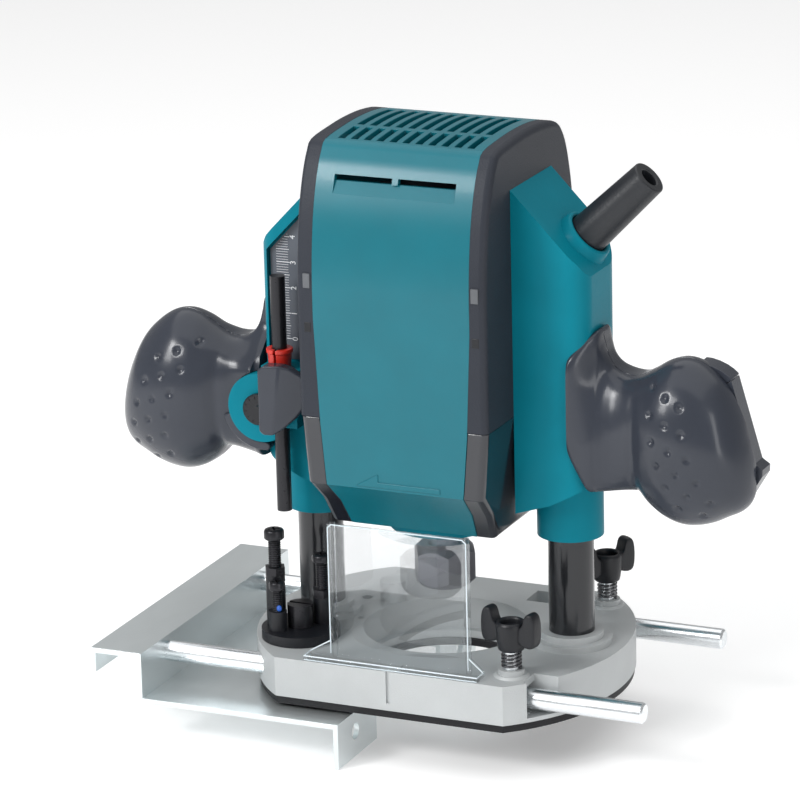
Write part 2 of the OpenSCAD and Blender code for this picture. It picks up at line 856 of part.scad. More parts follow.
module commutator() {
    color([0.75, 0.45, 0.25]) difference() {
        translate([0, 0, 158]) cylinder(r = 12, h = 15);
        translate([0, 0, 150]) cylinder(r = 4, h = 40);
        for (i = [0:11]) rotate([0, 0, i * 30 + 15]) translate([11.2, -0.3, 150]) cube([2, 0.6, 40]);
    }
}

module cooling_fan() {
    color([0.2, 0.2, 0.22]) difference() {
        union() {
            translate([0, 0, 86]) cylinder(r = 25, h = 1.6);
            translate([0, 0, 86]) cylinder(r = 9, h = 9);
            for (i = [0:10]) rotate([0, 0, i * 360 / 11])
                translate([8, -0.7, 86]) rotate([0, 0, 12]) cube([15.6, 1.4, 9]);
        }
        translate([0, 0, 80]) cylinder(r = spindle_r, h = 20);
    }
}

module collet() {
    color([0.6, 0.6, 0.62]) difference() {
        translate([0, 0, 40]) cylinder(r = 5.6, h = 24);
        translate([0, 0, 30]) cylinder(r = shank_r, h = 40);
        for (turn = [0, 90]) rotate([0, 0, turn]) translate([-8, -0.35, 38]) cube([16, 0.7, 18]);
    }
}

module collet_nut() {
    color([0.35, 0.36, 0.38]) difference() {
        intersection() {
            translate([0, 0, nut_bottom])
                cylinder(r = nut_flats / 2 / cos(30), h = nut_top - nut_bottom, $fn = 6);
            union() {
                translate([0, 0, nut_bottom]) cylinder(r1 = 9.6, r2 = 13, h = 3.4);
                translate([0, 0, nut_bottom + 3.3]) cylinder(r = 13, h = 9.6);
                translate([0, 0, nut_top - 3.2]) cylinder(r1 = 13, r2 = 9.8, h = 3.2);
            }
        }
        translate([0, 0, 30]) cylinder(r = 4.6, h = 40);
        translate([0, 0, 39.8]) cylinder(r = 5.6 + play, h = 40);
        translate([0, 0, 45.8]) cylinder(r = spindle_r + play, h = 40);
    }
}

// ---------------------------------------------------------------- depth stop

module stopper_pole() {
    color([0.13, 0.13, 0.14]) at(pole_x, pole_y, pole_bottom)
        cylinder(r = pole_r, h = pole_top - pole_bottom);
}

module depth_pointer() {
    color([0.85, 0.2, 0.15]) at(pole_x, pole_y) difference() {
        union() {
            translate([0, 0, shelf_top + 0.4]) cylinder(r1 = 4.2, r2 = 4.6, h = 6.4);
            translate([0, 0, shelf_top + 6.6]) cylinder(r = 5.1, h = 1.6);
        }
        translate([0, 0, shelf_top - 5]) cylinder(r = pole_r + play, h = 30);
        translate([-0.4, -8, shelf_top - 5]) cube([0.8, 8, 30]);
    }
}

module pole_lever() {
    front = -37.2;
    back = -30.5;
    color([0.1, 0.1, 0.11]) {
        translate([lever_x, -12, lever_z]) rotate([90, 0, 0]) cylinder(r = stud_r, h = 24);
        translate([lever_x, -24.4, lever_z]) rotate([90, 0, 0]) cylinder(r = hub_r, h = 6);
        translate([lever_x, -33, lever_z - 3.4]) cube([10, 3.6, 6.8]);
        in_xz(front, back,
            [[-59.4, 101.2], [-57.6, 99.8], [-53.6, 100], [-50.2, 102.2], [-45.4, 106.6],
             [-41.6, 111.4], [-40, 115.6], [-40.4, 119.6], [-43, 123.4], [-47, 126], [-51, 126.8],
             [-57.4, 126.8], [-59.4, 125.2]]);
    }
}

base_casting();
sole_plate();
sole_screws();
translate([-post_x, 0, 0]) post();  // post_left
translate([post_x, 0, 0]) post();  // post_right
post_bolts();
chip_guard();
turret_pivot_screw();
clamp_springs();
turret_block();
stop_screw_short();
stop_lock_nuts();
stop_screw_mid();
stop_screw_tall();
at(front_clamp[0], front_clamp[1]) wing_knob(front_turn);  // wing_knob_front
at(front_clamp[0], front_clamp[1]) wing_stud();  // wing_stud_front
at(rear_clamp[0], rear_clamp[1]) wing_knob(rear_turn);  // wing_knob_rear
at(rear_clamp[0], rear_clamp[1]) wing_stud();  // wing_stud_rear
fence_plate();
at(0, -rod_y) guide_rod();  // guide_rod_front
at(0, rod_y) guide_rod();  // guide_rod_rear
rod_screws();
front_cover();
rear_cover();
top_grille();
mirror([1, 0, 0]) frame_right();  // frame_left
frame_right();
mirror([1, 0, 0]) side_cap_right();  // side_cap_left
side_cap_right();
column_left();
column_right();
bearing_neck();
top_bracket();
color([0.12, 0.12, 0.14]) mirror([1, 0, 0])  // handle_left_front
        handle_half(back = false, lever_pocket = false, wraps = false);
color([0.12, 0.12, 0.14]) mirror([1, 0, 0])  // handle_left_rear
        handle_half(back = true, lever_pocket = false, wraps = true);
color([0.12, 0.12, 0.14]) handle_half(back = false, lever_pocket = true, wraps = true);  // handle_right_front
color([0.12, 0.12, 0.14]) handle_half(back = true, lever_pocket = true, wraps = true);  // handle_right_rear
handle_screws();
cord_guard();
switch_body();
switch_lever();
scale_plate();
housing_screws();
guide_bushes();
plunge_springs();
stator_core();
field_coils();
brush_holders();
carbon_brushes();
bearings();
lock_lever();
armature_shaft();
armature_core();
commutator();
cooling_fan();
collet();
collet_nut();
stopper_pole();
depth_pointer();
pole_lever();
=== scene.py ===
import json
import math
import bmesh
import bpy
from mathutils import Matrix, Vector

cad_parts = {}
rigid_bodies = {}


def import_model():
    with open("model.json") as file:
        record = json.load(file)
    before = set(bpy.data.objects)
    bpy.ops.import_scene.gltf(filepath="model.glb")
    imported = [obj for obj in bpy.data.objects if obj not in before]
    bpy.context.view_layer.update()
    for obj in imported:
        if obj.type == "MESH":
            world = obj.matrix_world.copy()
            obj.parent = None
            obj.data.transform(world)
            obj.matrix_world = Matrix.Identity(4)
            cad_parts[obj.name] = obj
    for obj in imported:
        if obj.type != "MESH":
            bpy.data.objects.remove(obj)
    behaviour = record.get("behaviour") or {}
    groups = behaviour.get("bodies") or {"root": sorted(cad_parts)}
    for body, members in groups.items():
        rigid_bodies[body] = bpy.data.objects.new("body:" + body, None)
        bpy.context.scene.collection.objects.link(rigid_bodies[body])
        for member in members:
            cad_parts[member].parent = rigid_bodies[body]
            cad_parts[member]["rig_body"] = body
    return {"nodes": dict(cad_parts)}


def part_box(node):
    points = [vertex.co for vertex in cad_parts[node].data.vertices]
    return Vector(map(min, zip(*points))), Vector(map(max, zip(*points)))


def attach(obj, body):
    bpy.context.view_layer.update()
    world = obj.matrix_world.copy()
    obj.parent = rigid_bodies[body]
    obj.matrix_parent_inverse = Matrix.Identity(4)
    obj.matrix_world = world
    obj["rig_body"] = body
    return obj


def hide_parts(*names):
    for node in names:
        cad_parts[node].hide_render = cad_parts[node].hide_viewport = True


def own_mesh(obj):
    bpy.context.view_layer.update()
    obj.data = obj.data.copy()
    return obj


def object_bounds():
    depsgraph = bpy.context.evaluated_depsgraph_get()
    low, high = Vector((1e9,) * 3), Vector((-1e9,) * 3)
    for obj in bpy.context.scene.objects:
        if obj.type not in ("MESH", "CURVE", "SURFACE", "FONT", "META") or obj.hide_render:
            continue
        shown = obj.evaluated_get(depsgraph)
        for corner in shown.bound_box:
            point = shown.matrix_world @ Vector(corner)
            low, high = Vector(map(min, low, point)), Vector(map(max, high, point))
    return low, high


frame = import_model()
cad_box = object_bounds()
MM = 0.001

# main sizes in millimetres, the same as the driving dimensions of the CAD model
POST_X = 52.2
BALL_Y = -7.6
COLUMN_OUT = 67.0
LEVER_X = -65.0
LEVER_Z = 106.0
RING_R = 13.5
FRAME_SEAM = 112.0


# ---------------------------------------------------------------- materials

def look(name, color, roughness, metallic=0.0, mottle=0.06, grain=900.0, bump=0.03, coat=0.0,
         streak=None, transmission=0.0, rough_spread=0.08, shine=0.5):
    """Surface with fine procedural grain: colour, roughness and bump all vary a little."""
    made = bpy.data.materials.new(name)
    made.use_nodes = True
    tree = made.node_tree
    shader = tree.nodes["Principled BSDF"]
    place = tree.nodes.new("ShaderNodeTexCoord")
    stretch = tree.nodes.new("ShaderNodeMapping")
    stretch.inputs["Scale"].default_value = streak or (1, 1, 1)
    tree.links.new(place.outputs["Object"], stretch.inputs["Vector"])
    fine = tree.nodes.new("ShaderNodeTexNoise")
    fine.inputs["Scale"].default_value = grain
    fine.inputs["Detail"].default_value = 3
    tree.links.new(stretch.outputs["Vector"], fine.inputs["Vector"])
    broad = tree.nodes.new("ShaderNodeTexNoise")
    broad.inputs["Scale"].default_value = 45
    broad.inputs["Detail"].default_value = 4
    tree.links.new(stretch.outputs["Vector"], broad.inputs["Vector"])
    ramp = tree.nodes.new("ShaderNodeValToRGB")
    ramp.color_ramp.elements[0].position = 0.3
    ramp.color_ramp.elements[1].position = 0.7
    darker = [c * (1 - mottle) for c in color]
    lighter = [min(1.0, c * (1 + mottle)) for c in color]
    ramp.color_ramp.elements[0].color = (*darker, 1)
    ramp.color_ramp.elements[1].color = (*lighter, 1)
    tree.links.new(broad.outputs["Fac"], ramp.inputs["Fac"])
    tree.links.new(ramp.outputs["Color"], shader.inputs["Base Color"])
    spread = tree.nodes.new("ShaderNodeMapRange")
    spread.inputs["To Min"].default_value = max(0.02, roughness - rough_spread)
    spread.inputs["To Max"].default_value = min(1.0, roughness + rough_spread)
    tree.links.new(fine.outputs["Fac"], spread.inputs["Value"])
    tree.links.new(spread.outputs["Result"], shader.inputs["Roughness"])
    relief = tree.nodes.new("ShaderNodeBump")
    relief.inputs["Strength"].default_value = bump
    relief.inputs["Distance"].default_value = 0.0004
    tree.links.new(fine.outputs["Fac"], relief.inputs["Height"])
    tree.links.new(relief.outputs["Normal"], shader.inputs["Normal"])
    shader.inputs["Metallic"].default_value = metallic
    shader.inputs["Specular IOR Level"].default_value = shine
    shader.inputs["Coat Weight"].default_value = coat
    shader.inputs["Coat Roughness"].default_value = 0.12
    shader.inputs["Transmission Weight"].default_value = transmission
    return made


# TEAL and the copy below it are one teal plastic. Their base colours and shine differ only as
# painted light: the columns' copy is brighter and less glossy to follow how light falls on them
TEAL = look("teal_abs", (0.002, 0.132, 0.172), 0.33, bump=0.04, mottle=0.05, coat=0.14,
            shine=0.3)
TEAL_SIDE_PAINTED_LIGHT = look("teal_abs_side_painted_light", (0.003, 0.186, 0.250), 0.38, bump=0.04, mottle=0.06, coat=0.02,
                 shine=0.06)
GREY = look("grey_textured_plastic", (0.025, 0.029, 0.039), 0.5, bump=0.35, grain=1500, shine=0.25)
GLOSS = look("glossy_black_plastic", (0.012, 0.014, 0.020), 0.2, bump=0.02, coat=0.5)
GRIP = look("grip_plastic", (0.033, 0.038, 0.051), 0.24, bump=0.012, grain=700, coat=0.2,
            rough_spread=0.02, shine=0.3)
BLACK = look("black_plastic", (0.008, 0.009, 0.012), 0.4, bump=0.2, grain=1200, shine=0.4)
RUBBER = look("black_rubber", (0.012, 0.014, 0.018), 0.42, bump=0.2, grain=1100)
CAST = look("silver_cast_aluminium", (0.48, 0.50, 0.505), 0.46, metallic=0.2, mottle=0.04,
            grain=2600, bump=0.35, rough_spread=0.2)
ZINC = look("zinc_plated_sheet", (0.77, 0.82, 0.83), 0.3, metallic=0.8, mottle=0.06, grain=420,
            bump=0.012, streak=(1, 0.3, 1), rough_spread=0.05)
STEEL = look("bright_steel", (0.84, 0.87, 0.89), 0.28, metallic=1.0, mottle=0.05, grain=1500,
             bump=0.05, streak=(0.06, 1, 1))
POST = look("blackened_post", (0.016, 0.017, 0.020), 0.2, metallic=0.3, grain=2000, bump=0.03,
            coat=0.3, streak=(1, 1, 0.05))
BLACK_STEEL = look("black_oxide_steel", (0.022, 0.022, 0.026), 0.3, metallic=0.5, bump=0.12)
DARK_STEEL = look("dark_steel", (0.20, 0.20, 0.22), 0.35, metallic=0.9, bump=0.15)
SPRING = look("spring_steel", (0.18, 0.18, 0.19), 0.28, metallic=0.95, bump=0.05)
RED = look("red_plastic", (0.62, 0.028, 0.016), 0.38, bump=0.08, coat=0.1)
LABEL = look("grey_label", (0.085, 0.098, 0.120), 0.45, bump=0.05)
PRINT = look("white_print", (0.80, 0.82, 0.84), 0.5, bump=0.02, mottle=0.02)
CLIP = look("light_grey_plastic", (0.10, 0.107, 0.118), 0.45, bump=0.1)
BRASS = look("brass", (0.62, 0.42, 0.16), 0.3, metallic=1.0, bump=0.08)
COPPER = look("copper", (0.60, 0.24, 0.10), 0.32, metallic=1.0, bump=0.1)
BLUE = look("thread_locker", (0.02, 0.10, 0.45), 0.35, bump=0.1)
SOLE = look("sole_plastic", (0.009, 0.009, 0.011), 0.5, bump=0.2, shine=0.3)


def clear_look():
    made = look("clear_polycarbonate", (0.86, 0.93, 0.97), 0.05, bump=0.01, grain=60,
                mottle=0.01, rough_spread=0.02, transmission=1.0)
    shader = made.node_tree.nodes["Principled BSDF"]
    shader.inputs["IOR"].default_value = 1.3
    shader.inputs["Alpha"].default_value = 0.3
    return made


CLEAR = clear_look()
# opaque pale material for thin lines along the guard's edges: painted highlight
CLEAR_EDGE_HIGHLIGHT = look("painted_guard_edge_highlight", (0.78, 0.86, 0.90), 0.12, bump=0.02, grain=60,
                  mottle=0.05)


# ---------------------------------------------------------------- building helpers

def smooth(mesh, angle):
    """Smooth shading except at edges sharper than an angle in degrees."""
    for polygon in mesh.polygons:
        polygon.use_smooth = True
    mesh.set_sharp_from_angle(angle=math.radians(angle))


def put(name, mesh, body, surface, slot, smooth_angle=32):
    """Object from a mesh given in metres, riding on a body."""
    smooth(mesh, smooth_angle)
    made = bpy.data.objects.new(name, mesh)
    bpy.context.scene.collection.objects.link(made)
    mesh.materials.clear()
    mesh.materials.append(surface)
    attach(made, body)
    return made


def from_bmesh(name, shape, body, surface, slot, scale=MM, **extra):
    """Object from a bmesh, which is in millimetres unless the scale says otherwise."""
    bmesh.ops.recalc_face_normals(shape, faces=shape.faces[:])
    bmesh.ops.scale(shape, vec=(scale, scale, scale), verts=shape.verts[:])
    mesh = bpy.data.meshes.new(name)
    shape.to_mesh(mesh)
    shape.free()
    return put(name, mesh, body, surface, slot, **extra)


def body_of_node(node):
    return frame["nodes"][node]["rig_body"]


def round_sides(shape, radius):
    """Rounds the outer front-to-back corners of a side frame, but not the seam at its end."""
    rim = []
    for edge in shape.edges:
        if not edge.is_manifold or edge.calc_face_angle(0) < math.radians(40):
            continue
        outward = [abs(f.normal.x) > 0.9 and f.normal.x * edge.verts[0].co.x > 0
                   for f in edge.link_faces]
        at_seam = all(abs(v.co.z - FRAME_SEAM * MM) < 0.3 * MM for v in edge.verts)
        if any(outward) and abs(edge.verts[0].co.x) > 33 * MM and not at_seam:
            rim.append(edge)
    bmesh.ops.bevel(shape, geom=rim, offset=radius * MM, segments=4, profile=0.5,
                    affect="EDGES", clamp_overlap=True)


def add_bevel(thing, edge, segments=2, angle=35):
    bevel = thing.modifiers.new("edges", "BEVEL")
    bevel.width = edge * MM
    bevel.segments = segments
    bevel.limit_method = "ANGLE"
    bevel.angle_limit = math.radians(angle)
    even = thing.modifiers.new("normals", "WEIGHTED_NORMAL")
    even.keep_sharp = True


def soften(node, edge, surface, slot, segments=2, wide=0.0):
    """Copy of a CAD node with its sharp edges rounded, shown in place of the node."""
    shape = bmesh.new()
    shape.from_mesh(frame["nodes"][node].data)
    bmesh.ops.remove_doubles(shape, verts=shape.verts[:], dist=0.002 * MM)
    bmesh.ops.dissolve_limit(shape, angle_limit=math.radians(0.4), verts=shape.verts[:],
                             edges=shape.edges[:])
    if wide:
        shape.normal_update()
        round_sides(shape, wide)
    made = from_bmesh(node + "_soft", shape, body_of_node(node), surface, slot, scale=1.0)
    add_bevel(made, edge, segments, 30)
    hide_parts(node)


def repaint(node, surface):
    """Gives a node of the frame another look."""
    thing = frame["nodes"][node]
    for place in thing.material_slots:
        place.material = surface
    if not thing.material_slots:
        thing.data.materials.append(surface)


def add_rings(shape, rings, cap=True):
    """Adds a skin through closed rings of points, all with the same count, to a bmesh."""
    rows = [[shape.verts.new(p) for p in ring] for ring in rings]
    count = len(rings[0])
    for row, after in zip(rows, rows[1:]):
        for i in range(count):
            j = (i + 1) % count
            shape.faces.new((row[i], row[j], after[j], after[i]))
    if cap:
        shape.faces.new(rows[0])
        shape.faces.new(rows[-1])


def loft(rings):
    shape = bmesh.new()
    add_rings(shape, rings)
    return shape


def lathe(profile, centre, steps):
    """Rings of a turned piece round an upright axis, from a list of (radius, height)."""
    turns = [2 * math.pi * i / steps for i in range(steps)]
    return [[(centre[0] + radius * math.cos(a), centre[1] + radius * math.sin(a), height)
             for a in turns] for radius, height in profile]


def block(shape, low, high, turn=None):
    """Adds a box between two corners, turned about its own middle, to a bmesh."""
    made = bmesh.ops.create_cube(shape, size=1.0)["verts"]
    size = [high[i] - low[i] for i in range(3)]
    middle = [(high[i] + low[i]) / 2 for i in range(3)]
    bmesh.ops.scale(shape, vec=size, verts=made)
    if turn is not None:
        bmesh.ops.rotate(shape, cent=(0, 0, 0), matrix=turn, verts=made)
    bmesh.ops.translate(shape, vec=middle, verts=made)
    return made


# ---------------------------------------------------------------- soft copies of the frame

SOFT = [
    ("base_casting", 0.7, CAST, "cast_aluminium", 3),
    ("fence_plate", 0.6, ZINC, "zinc_steel", 3),
    ("sole_plate", 0.3, SOLE, "black_plastic", 2),
    ("front_cover", 1.0, TEAL, "teal_plastic", 3),
    ("rear_cover", 1.0, TEAL, "teal_plastic", 3),
    ("top_grille", 0.4, TEAL, "teal_plastic", 2),
    ("column_left", 1.3, TEAL_SIDE_PAINTED_LIGHT, "teal_plastic", 3),
    ("column_right", 1.3, TEAL_SIDE_PAINTED_LIGHT, "teal_plastic", 3),
    ("bearing_neck", 0.6, TEAL_SIDE_PAINTED_LIGHT, "teal_plastic", 2),
    ("collet_nut", 0.4, DARK_STEEL, "motor_steel", 2),
    ("lock_lever", 0.8, BLACK, "black_plastic", 3),
    ("turret_block", 0.3, BLACK, "black_plastic", 2),
    ("switch_lever", 0.9, GRIP, "grip_plastic", 3),
    ("chip_guard", 0.35, CLEAR, "clear_plastic", 2),
    ("depth_pointer", 0.3, RED, "red_plastic", 2),
    ("cord_guard", 0.5, RUBBER, "black_rubber", 2),
]
for node, edge, surface, slot, segments in SOFT:
    soften(node, edge, surface, slot, segments)
for word in ("left", "right"):
    soften("frame_" + word, 0.4, GREY, "grey_plastic", wide=2.6)
    soften("side_cap_" + word, 0.4, GLOSS, "black_plastic", wide=2.6)

REPAINTED = {
    "sole_screws": STEEL, "post_left": POST, "post_right": POST, "post_bolts": DARK_STEEL,
    "turret_pivot_screw": BLACK_STEEL, "stop_lock_nuts": BLACK_STEEL,
    "wing_stud_front": STEEL, "wing_stud_rear": STEEL, "guide_rod_front": STEEL,
    "guide_rod_rear": STEEL, "rod_screws": STEEL, "top_bracket": GREY, "handle_screws": STEEL,
    "switch_body": GREY, "scale_plate": LABEL, "housing_screws": STEEL, "guide_bushes": BRASS,
    "stator_core": DARK_STEEL, "field_coils": COPPER, "brush_holders": BRASS,
    "carbon_brushes": BLACK, "bearings": STEEL, "armature_shaft": DARK_STEEL,
    "armature_core": DARK_STEEL, "commutator": COPPER, "cooling_fan": GREY, "collet": DARK_STEEL,
    "stopper_pole": BLACK_STEEL,
}
for node, surface in REPAINTED.items():
    repaint(node, surface)


# ---------------------------------------------------------------- handles

# sections of a handle from the column outward:
# distance out, middle to the back, top, bottom, half depth, squareness
HANDLE_SECTIONS = [
    (60.0, 0.0, 137.6, 98.2, 22.4, 8),
    (61.2, 0.0, 139.2, 95.2, 22.5, 8),
    (64.0, 0.0, 142.2, 89.6, 22.5, 8),
    (66.8, 0.0, 145.0, 84.8, 22.5, 7.5),
    (69.0, 0.0, 145.6, 84.2, 22.2, 6.5),
    (70.2, 0.0, 141.0, 84.1, 21.8, 5.6),
    (71.6, -0.2, 136.0, 84.1, 21.2, 5),
    (73.6, -0.6, 132.4, 84.2, 20.3, 4.5),
    (76.4, -1.4, 130.2, 84.5, 19.2, 4),
    (79.6, -2.6, 129.2, 84.9, 18.2, 3.5),
    (82.8, -4.0, 129.2, 85.2, 17.3, 3.1),
    (85.8, -5.3, 130.2, 84.8, 16.6, 2.7),
    (90.0, -6.6, 132.6, 80.0, 17.8, 2.25),
    (96.0, -7.4, 136.3, 76.0, 19.5, 2.1),
    (102.0, BALL_Y, 138.0, 74.1, 20.2, 2.05),
    (108.0, BALL_Y, 136.9, 74.3, 20.0, 2.0),
    (114.0, BALL_Y, 133.0, 76.0, 18.7, 2.0),
    (119.4, BALL_Y, 127.2, 78.7, 16.6, 2.0),
    (124.0, BALL_Y, 118.2, 81.0, 13.2, 2.0),
    (127.0, BALL_Y, 109.0, 83.8, 9.4, 2.0),
    (128.8, BALL_Y, 102.0, 87.4, 5.2, 2.0),
    (129.4, BALL_Y, 97.8, 90.8, 2.0, 2.0),
]


def between(table, t):
    """Smooth value between the rows of a table, at row number t."""
    last = len(table) - 1
    i = min(int(t), last - 1)
    f = t - i
    rows = [table[max(i - 1, 0)], table[i], table[i + 1], table[min(i + 2, last)]]
    out = []
    for a, b, c, d in zip(*rows):
        out.append(b + 0.5 * f * (c - a + f * (2 * a - 5 * b + 4 * c - d
                                               + f * (3 * (b - c) + d - a))))
    return out


def signed_power(value, exponent):
    return math.copysign(abs(value) ** exponent, value)


def smooth_step(value):
    held = min(max(value, 0.0), 1.0)
    return held * held * (3 - 2 * held)


# share of the flange's depth that is taken away at its top, towards the seam
NARROWER_REAR = 0.7
NARROWER_LEFT_FRONT = 0.9
NARROWER_RIGHT_FRONT = 0.62


def narrowed(side, out, y, z):
    """Depth of a point of the handle, drawn in towards the seam near the top of the flange."""
    share = smooth_step((z - 106) / 32) * (1 - smooth_step((out - 70) / 18))
    if y >= BALL_Y:
        kept = 1 - NARROWER_REAR * share
    elif side < 0:
        share = smooth_step((z - 118) / 18) * (1 - smooth_step((out - 71) / 16))
        kept = 1 - NARROWER_LEFT_FRONT * share
    else:
        kept = 1 - NARROWER_RIGHT_FRONT * share * smooth_step((out - 60) / 12.5)
    return BALL_Y + (y - BALL_Y) * kept


def handle_rings(side, count=170, around=240):
    """Closed rings of a handle, each a squared ellipse, from the column outward."""
    rings = []
    for k in range(count):
        t = (len(HANDLE_SECTIONS) - 1) * k / (count - 1)
        out, y, top, bottom, depth, square = between(HANDLE_SECTIONS, t)
        middle = (top + bottom) / 2
        half = (top - bottom) / 2
        ring = []
        for i in range(around):
            a = 2 * math.pi * (i + 0.5) / around
            z = middle + half * signed_power(math.sin(a), 2 / square)
            across = narrowed(side, out, y + depth * signed_power(math.cos(a), 2 / square), z)
            ring.append((side * out, across, z))
        rings.append(ring)
    return rings


def dimple_centres(side):
    """Rows of three grip dimples that follow the outline of a ball."""
    places = []
    for row in range(6):
        for column in range(3 if row < 5 else 2):
            if side > 0:
                out = 93.2 + 0.43 * row ** 2 + (6.1 + 0.5 * row) * column
                height = 129.0 - 9.7 * row + 0.14 * row ** 2 - 2.7 * column
            else:
                out = 92.0 + 6.4 * row - 0.75 * row ** 2 + 7.8 * column
                height = 128.1 - 9.8 * row + 0.15 * row ** 2 - 2.9 * column
            places.append((side * out, height))
    return places


def loose(shape):
    """Object used only to cut with."""
    bmesh.ops.recalc_face_normals(shape, faces=shape.faces[:])
    bmesh.ops.scale(shape, vec=(MM, MM, MM), verts=shape.verts[:])
    mesh = bpy.data.meshes.new("cutter")
    shape.to_mesh(mesh)
    shape.free()
    made = bpy.data.objects.new("cutter", mesh)
    bpy.context.scene.collection.objects.link(made)
    return made


def cut(thing, shape, crossing=False):
    """Cuts a bmesh out of an object. Crossing says that the bmesh crosses itself."""
    cutter = loose(shape)
    step = thing.modifiers.new("cut", "BOOLEAN")
    step.object = cutter
    step.operation = "DIFFERENCE"
    step.solver = "EXACT"
    step.use_self = crossing
    bpy.context.view_layer.update()
    final = bpy.data.meshes.new_from_object(
        thing.evaluated_get(bpy.context.evaluated_depsgraph_get()))
    thing.modifiers.clear()
    thing.data = final
    bpy.data.objects.remove(cutter)


def split(shape, y, **extra):
    """Cuts a bmesh along a plane that faces the front."""
    everything = shape.verts[:] + shape.edges[:] + shape.faces[:]
    bmesh.ops.bisect_plane(shape, geom=everything, plane_co=(0, y, 0), plane_no=(0, 1, 0),
                           dist=1e-5, **extra)


def rod_along_y(x, z, front, back, radius, steps=64):
    rings = [[(x + radius * math.cos(2 * math.pi * i / steps), y,
               z + radius * math.sin(2 * math.pi * i / steps)) for i in range(steps)]
             for y in (front, back)]
    return loft(rings)


def arc(x, y, radius, start, end, steps=10):
    """Points of an arc in a level plane, angles in degrees."""
    turns = [math.radians(start + (end - start) * i / steps) for i in range(steps + 1)]
    return [(x + radius * math.cos(a), y + radius * math.sin(a)) for a in turns]


def column_room(side, grow=0.1):
    """Prism of a column's plan: a tight corner at the front and a wide one at the back."""
    plan = [(50, -20 - grow)]
    plan += arc(COLUMN_OUT - 8, -12, 8 + grow, -90, 0)
    plan += arc(COLUMN_OUT - 15, 5, 15 + grow, 0, 90)
    plan.append((50, 20 + grow))
    return loft([[(side * x, y, z) for x, y in plan] for z in (60, 170)])


def box_shape(low, high):
    shape = bmesh.new()
    block(shape, low, high)
    return shape


def trigger_pocket():
    """Room behind the seam of the right ball for the trigger."""
    outline = [(114.6, 122), (114.6, 131.4), (125.5, 136), (142, 99), (140, 78), (118.2, 84),
               (117.8, 98)]
    return loft([[(x, y, z) for x, z in outline] for y in (BALL_Y - 1, 1.9)])


# groove where the two halves of a handle meet, and the grip dimples
GROOVE_HALF = 0.4
GROOVE_DEPTH = 0.55
DIMPLE_RADIUS = 1.7
DIMPLE_DEPTH = 0.95
BALL_START = 86


def pressed_in(vert, centres):
    """How deep a point of a handle lies below its plain surface."""
    push = 0.0
    if abs(vert.co.y - BALL_Y) < 0.01:
        push = GROOVE_DEPTH
    if abs(vert.co.x) > BALL_START and abs(vert.normal.y) > 0.1:
        for x, z in centres:
            away = math.hypot(vert.co.x - x, vert.co.z - z)
            if away < DIMPLE_RADIUS:
                push += DIMPLE_DEPTH * (1 - (away / DIMPLE_RADIUS) ** 2) ** 1.5
    return push


def whole_handle(side):
    """Both halves of a handle in one, with the groove and the dimples."""
    shape = loft(handle_rings(side))
    bmesh.ops.recalc_face_normals(shape, faces=shape.faces[:])
    for offset in (-GROOVE_HALF, 0.0, GROOVE_HALF):
        split(shape, BALL_Y + offset)
    shape.normal_update()
    centres = dimple_centres(side)
    moves = [v.normal * pressed_in(v, centres) for v in shape.verts]
    for v, move in zip(shape.verts, moves):
        v.co -= move
    return shape


def handle_half(whole, side, word, back):
    """Front or rear half of a handle, with room for what it touches."""
    label = "rear" if back else "front"
    half = whole.copy()
    split(half, BALL_Y, clear_inner=back, clear_outer=not back)
    bmesh.ops.holes_fill(half, edges=[e for e in half.edges if e.is_boundary])
    piece = from_bmesh("handle_%s_%s_grip" % (word, label), half, "housing", GRIP,
                       "grip_plastic", smooth_angle=50)
    cut(piece, column_room(side))
    if side < 0 and not back:
        cut(piece, box_shape((-COLUMN_OUT - 0.1, -60, 60), (-50, 0, 170)))
        cut(piece, rod_along_y(LEVER_X, LEVER_Z, -40, -17.8, RING_R + 0.35))
    if side > 0 and back:
        cut(piece, trigger_pocket())
    smooth(piece.data, 50)
    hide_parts("handle_%s_%s" % (word, label))


def trigger_fairing():
    """Ridge of the right ball over the top of the trigger."""
    outline = [(106.5, 136.0), (109.0, 135.9), (112.0, 135.2), (115.0, 134.0), (117.4, 132.6),
               (119.2, 131.1), (119.3, 130.45), (116.8, 128.75), (108.0, 131.0)]
    shape = loft([[(x, y, z) for x, z in outline] for y in (BALL_Y + 0.6, 1.7)])
    made = from_bmesh("trigger_fairing", shape, "housing", GRIP, "grip_plastic")
    bevel = made.modifiers.new("edges", "BEVEL")
    bevel.width = 0.5 * MM
    bevel.segments = 3


for side, word in ((1, "right"), (-1, "left")):
    whole = whole_handle(side)
    for back in (False, True):
        handle_half(whole, side, word, back)
    whole.free()
trigger_fairing()


# ---------------------------------------------------------------- small parts

def prism_xz(shape, outline, front, back):
    """Adds a plate with an outline in the XZ plane to an existing bmesh."""
    add_rings(shape, [[(x, y, z) for x, z in outline] for y in (front, back)])


def thread(x, y, low, high, radius, pitch=0.9):
    """Rings of a shank between two heights, with a groove for each turn of its thread."""
    root = radius - 0.32
    profile = [(radius * 0.6, low)]
    for i in range(int((high - low) / pitch)):
        z = low + i * pitch
        profile += [(root, z + 0.02), (radius, z + pitch * 0.4), (radius, z + pitch * 0.6),
                    (root, z + pitch - 0.02)]
    profile.append((root, high))
    return lathe(profile, (x, y), 28)


